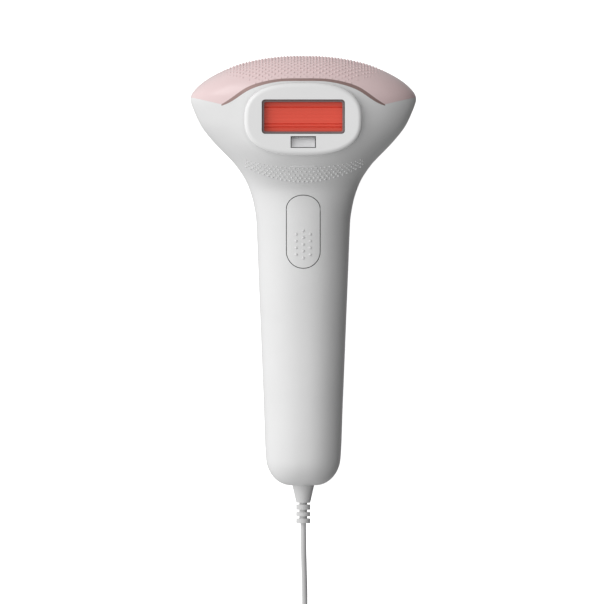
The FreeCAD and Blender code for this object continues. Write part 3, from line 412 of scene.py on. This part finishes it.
def crown_dots():
    """Grip texture over the top of the cover: rows of small bumps that shrink to nothing."""
    tree = tree_of("top_cover")
    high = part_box("top_cover")[1]
    axis_y, axis_z = high.y - CROWN_AXIS_BELOW_TOP, CROWN_AXIS_HEIGHT
    bm = bmesh.new()
    spacing = 0.55 * CROWN_DOT_PITCH
    columns = int(CROWN_REACH / spacing)
    for column in range(-columns, columns + 1):
        x = column * spacing
        edge = 1 - abs(x) / CROWN_REACH
        for direction, rows in ((-1, CROWN_ROWS_FRONT), (1, CROWN_ROWS_BACK)):
            shown = max(2, round(rows * min(1, 0.35 + 1.3 * edge)))
            line = crown_line(tree, x, axis_y, axis_z, direction, shown, 0.5 * (column % 2))
            for k, (place, normal) in enumerate(line):
                if k == 0 and direction == 1 and column % 2 == 0:
                    continue
                fade = min(1, 3.5 * edge) * min(1, 0.4 + 0.3 * (shown - k))
                radius = CROWN_DOT_RADIUS * fade
                add_dome(bm, place, normal, radius, radius * 0.75, sides=8)
    finish_mesh("crown_grip_dots", bm, "pink_plastic", "housing")


# The crescent under the plate, in millimetres: two parabolas and the rows between them.
CHIN_REACH = 24.0
CHIN_PITCH = 1.75
CHIN_ROWS = 5
CHIN_DOT_RADIUS = 0.62
CHIN_BOTTOM_U = 121.6
CHIN_BOTTOM_BEND = 0.0115
CHIN_TOP_U = 126.6
CHIN_TOP_BEND = 0.0069
CHIN_BAR_U = 127.5
CHIN_BAR_HALF = 5.6
CROWN_BAR_U = 165.7
CROWN_BAR_HALF = 6.0
BAR_WIDTH = 0.6


def chin_dots():
    """Crescent of white bumps under the plate, largest low in the middle, and a short bar."""
    tree = tree_of("front_shell")
    bm = bmesh.new()
    for row in range(CHIN_ROWS):
        share = row / (CHIN_ROWS - 1)
        columns = int(CHIN_REACH / CHIN_PITCH)
        for column in range(-columns, columns + 1):
            x = (column + 0.5 * (row % 2)) * CHIN_PITCH
            if abs(x) > CHIN_REACH:
                continue
            bottom = CHIN_BOTTOM_U + CHIN_BOTTOM_BEND * x * x
            top = CHIN_TOP_U + CHIN_TOP_BEND * x * x
            u = bottom + (top - bottom) * share
            hit, normal, _, _ = tree.ray_cast(Vector((x * MM, along(u), ABOVE_ALL)), DOWN)
            fade = (1 - 0.3 * share) * (1 - 0.25 * abs(x) / CHIN_REACH)
            radius = CHIN_DOT_RADIUS * fade * MM
            add_dome(bm, hit, normal, radius, radius * 0.9, sides=12)
    half = CHIN_BAR_HALF * MM
    add_bar(bm, tree, -half, half, along(CHIN_BAR_U), BAR_WIDTH * MM, 0.4 * MM)
    finish_mesh("chin_grip_dots", bm, "white_plastic", "housing")


def crown_bar():
    tree = tree_of("top_cover")
    bm = bmesh.new()
    half = CROWN_BAR_HALF * MM
    add_bar(bm, tree, -half, half, along(CROWN_BAR_U), BAR_WIDTH * MM, 0.3 * MM)
    finish_mesh("crown_bar", bm, "pink_plastic", "housing")


BUTTON_DOT_RADIUS = 0.6 * MM
BUTTON_DOT_PITCH = 2.7 * MM
BUTTON_DOT_SIDE = 2.8 * MM
BUTTON_DOT_START = 4.0 * MM
BUTTON_DOT_HEIGHT = 0.42 * MM


def button_dots():
    """Thirteen tactile dots on the lower half of the flash button."""
    tree = tree_of("flash_button")
    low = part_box("flash_button")[0].y
    bm = bmesh.new()
    columns = [(0, 0.0, 5), (-BUTTON_DOT_SIDE, 0.5, 4), (BUTTON_DOT_SIDE, 0.5, 4)]
    for x, offset, count in columns:
        for k in range(count):
            y = low + BUTTON_DOT_START + (k + offset) * BUTTON_DOT_PITCH
            hit, normal, _, _ = tree.ray_cast(Vector((x, y, ABOVE_ALL)), DOWN)
            add_dome(bm, hit, normal, BUTTON_DOT_RADIUS, BUTTON_DOT_HEIGHT, sides=16)
    finish_mesh("button_dots", bm, "white_plastic", "button")


# painted shade: a dark strip hidden under the button's gap stands in for the shadow inside it
GAP_SHADE_DEPTH = 4.2 * MM        # under the surface, clear of the pressed button
GAP_SHADE_INSIDE = 0.9 * MM       # reach of the strip to each side of the button's edge
GAP_SHADE_OUTSIDE = 1.2 * MM
GAP_SHADE_THICKNESS = 0.5 * MM
BUTTON_TOP_BULGE = 5.3 * MM  # the button's upper end is a half ellipse this high
BUTTON_PROBE = 1.2 * MM      # the surface is measured this far inside its edge
ARC_STEPS = 32


def button_outline():
    """Points round the button, each with its direction away from the middle."""
    low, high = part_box("flash_button")
    half = (high.x - low.x) / 2
    outline = []
    for middle, rise, first in ((low.y + half, half, math.pi),
                                (high.y - BUTTON_TOP_BULGE, BUTTON_TOP_BULGE, 0.0)):
        for k in range(ARC_STEPS + 1):
            angle = first + math.pi * k / ARC_STEPS
            c, s = math.cos(angle), math.sin(angle)
            outline.append((Vector((half * c, middle + rise * s, 0)), Vector((c, s, 0))))
    return outline


def add_button_gap_shade():
    """Painted shade: a dark strip under the gap round the button, so that the gap reads as a shadowed
    line.
    """
    tree = tree_of("flash_button", "front_shell")
    bm = bmesh.new()
    rows = []
    for place, outward in button_outline():
        start = place - outward * BUTTON_PROBE + Vector((0, 0, ABOVE_ALL))
        hit, _, _, _ = tree.ray_cast(start, DOWN)
        level = Vector((0, 0, hit.z - GAP_SHADE_DEPTH))
        inner = place - outward * GAP_SHADE_INSIDE + level
        outer = place + outward * GAP_SHADE_OUTSIDE + level
        drop = DOWN * GAP_SHADE_THICKNESS
        rows.append([bm.verts.new(p) for p in (inner, outer, outer + drop, inner + drop)])
    for a, b in zip(rows, rows[1:] + rows[:1]):
        for j in range(4):
            bm.faces.new((a[j], a[(j + 1) % 4], b[(j + 1) % 4], b[j]))
    finish_mesh("button_gap_painted_shade", bm, "dark_rubber", "housing")


crown_dots()
crown_bar()
chin_dots()
button_dots()
# painted shade under the button's gap
add_button_gap_shade()


# ---------------------------------------------------------------- filter glass
GLASS_STEPS = 240
GLASS_RIBS = 9
GLASS_GROOVES = (0.17, 0.27, 0.81)
GROOVE_SHARE = 0.012         # half width of a groove as a share of the glass
RIB_DEPTH = 0.07 * MM
GROOVE_DEPTH = 0.5 * MM


def ribbed_glass():
    """Filter glass whose face carries fine ribs along its length."""
    low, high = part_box("filter_glass")
    bm = bmesh.new()
    rows = []
    for k in range(GLASS_STEPS + 1):
        share = k / GLASS_STEPS
        y = low.y + (high.y - low.y) * share
        rib = 0.5 + 0.5 * math.cos(2 * math.pi * GLASS_RIBS * share)
        groove = sum(math.exp(-((share - at) / GROOVE_SHARE) ** 2) for at in GLASS_GROOVES)
        z = high.z - RIB_DEPTH * rib - GROOVE_DEPTH * groove
        rows.append([bm.verts.new((low.x, y, z)), bm.verts.new((high.x, y, z))])
    for a, b in zip(rows, rows[1:]):
        bm.faces.new((a[0], a[1], b[1], b[0]))
    base = [bm.verts.new((x, y, low.z)) for x, y in
            ((low.x, low.y), (high.x, low.y), (high.x, high.y), (low.x, high.y))]
    bm.faces.new((base[0], base[3], base[2], base[1]))
    bm.faces.new((base[0], base[1], rows[0][1], rows[0][0]))
    bm.faces.new((base[2], base[3], rows[-1][0], rows[-1][1]))
    bm.faces.new([base[1], base[2]] + [r[1] for r in reversed(rows)])
    bm.faces.new([base[3], base[0]] + [r[0] for r in rows])
    glass = finish_mesh("filter_glass_ribbed", bm, "red_glass", "housing", smooth=False)
    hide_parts("filter_glass")


ribbed_glass()


# ---------------------------------------------------------------- cord
CORD_DIAMETER = 2.2 * MM
COIL_MIDDLE = Vector((12 * MM, -161.8 * MM, 0))
COIL_OUTER = 17.4 * MM       # centreline of the outermost turn
COIL_LOWEST = 1.7 * MM       # centreline of the lowest layer
COIL_COLUMNS = 6
COIL_ROWS = 4
TURN_POINTS = 16
CORD_ROUTE = [(0, -15.2, 17.0), (0.1, -24.0, 16.7), (0.3, -33.0, 13.6), (0.6, -42.0, 8.2),
              (0.6, -51.0, 3.6), (0.3, -60.0, 1.6)]
TAIL_ROUTE = [(-3.4, -86.0, 7.6), (-0.6, -93.0, 8.3), (0, -99.0, 8.6)]


def coil_points():
    """Turns wound in columns, out and in, one layer on the other."""
    layer = 0.87 * CORD_DIAMETER
    turns = []
    for row in range(COIL_ROWS):
        columns = COIL_COLUMNS - row % 2
        order = range(columns) if row % 2 == 0 else reversed(range(columns))
        for column in order:
            radius = COIL_OUTER - (column + 0.5 * (row % 2)) * CORD_DIAMETER
            turns.append((radius, COIL_LOWEST + row * layer))
    points = []
    for index, (radius, z) in enumerate(turns):
        following = turns[min(index + 1, len(turns) - 1)]
        for k in range(TURN_POINTS):
            share = max(0.0, (k / TURN_POINTS - 0.6) / 0.4)
            r = (radius + (following[0] - radius) * share) / math.cos(math.pi / TURN_POINTS)
            angle = math.pi + 2 * math.pi * k / TURN_POINTS
            height = z + (following[1] - z) * share
            turned = Vector((r * math.cos(angle), r * math.sin(angle), height))
            points.append(COIL_MIDDLE + turned)
    last_radius, last_z = turns[-1]
    points.append(COIL_MIDDLE + Vector((-last_radius, 0, last_z)))
    return points


def add_cord():
    start = [Vector((x * MM, along(u), z * MM)) for x, u, z in CORD_ROUTE]
    end = [Vector((x * MM, along(u), z * MM)) for x, u, z in TAIL_ROUTE]
    points = start + coil_points() + end
    curve = bpy.data.curves.new("power_cord", "CURVE")
    curve.dimensions = "3D"
    curve.bevel_depth = CORD_DIAMETER / 2
    curve.bevel_resolution = 4
    curve.resolution_u = 3
    curve.use_fill_caps = True
    spline = curve.splines.new("NURBS")
    spline.points.add(len(points) - 1)
    for point, place in zip(spline.points, points):
        point.co = (*place, 1)
    spline.order_u = 3
    spline.use_endpoint_u = True
    cord = bpy.data.objects.new("power_cord", curve)
    bpy.context.scene.collection.objects.link(cord)
    paint(cord, "cord_rubber")
    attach(cord, "housing")
    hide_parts("cord", "cord_coil", "cord_tail")


add_cord()
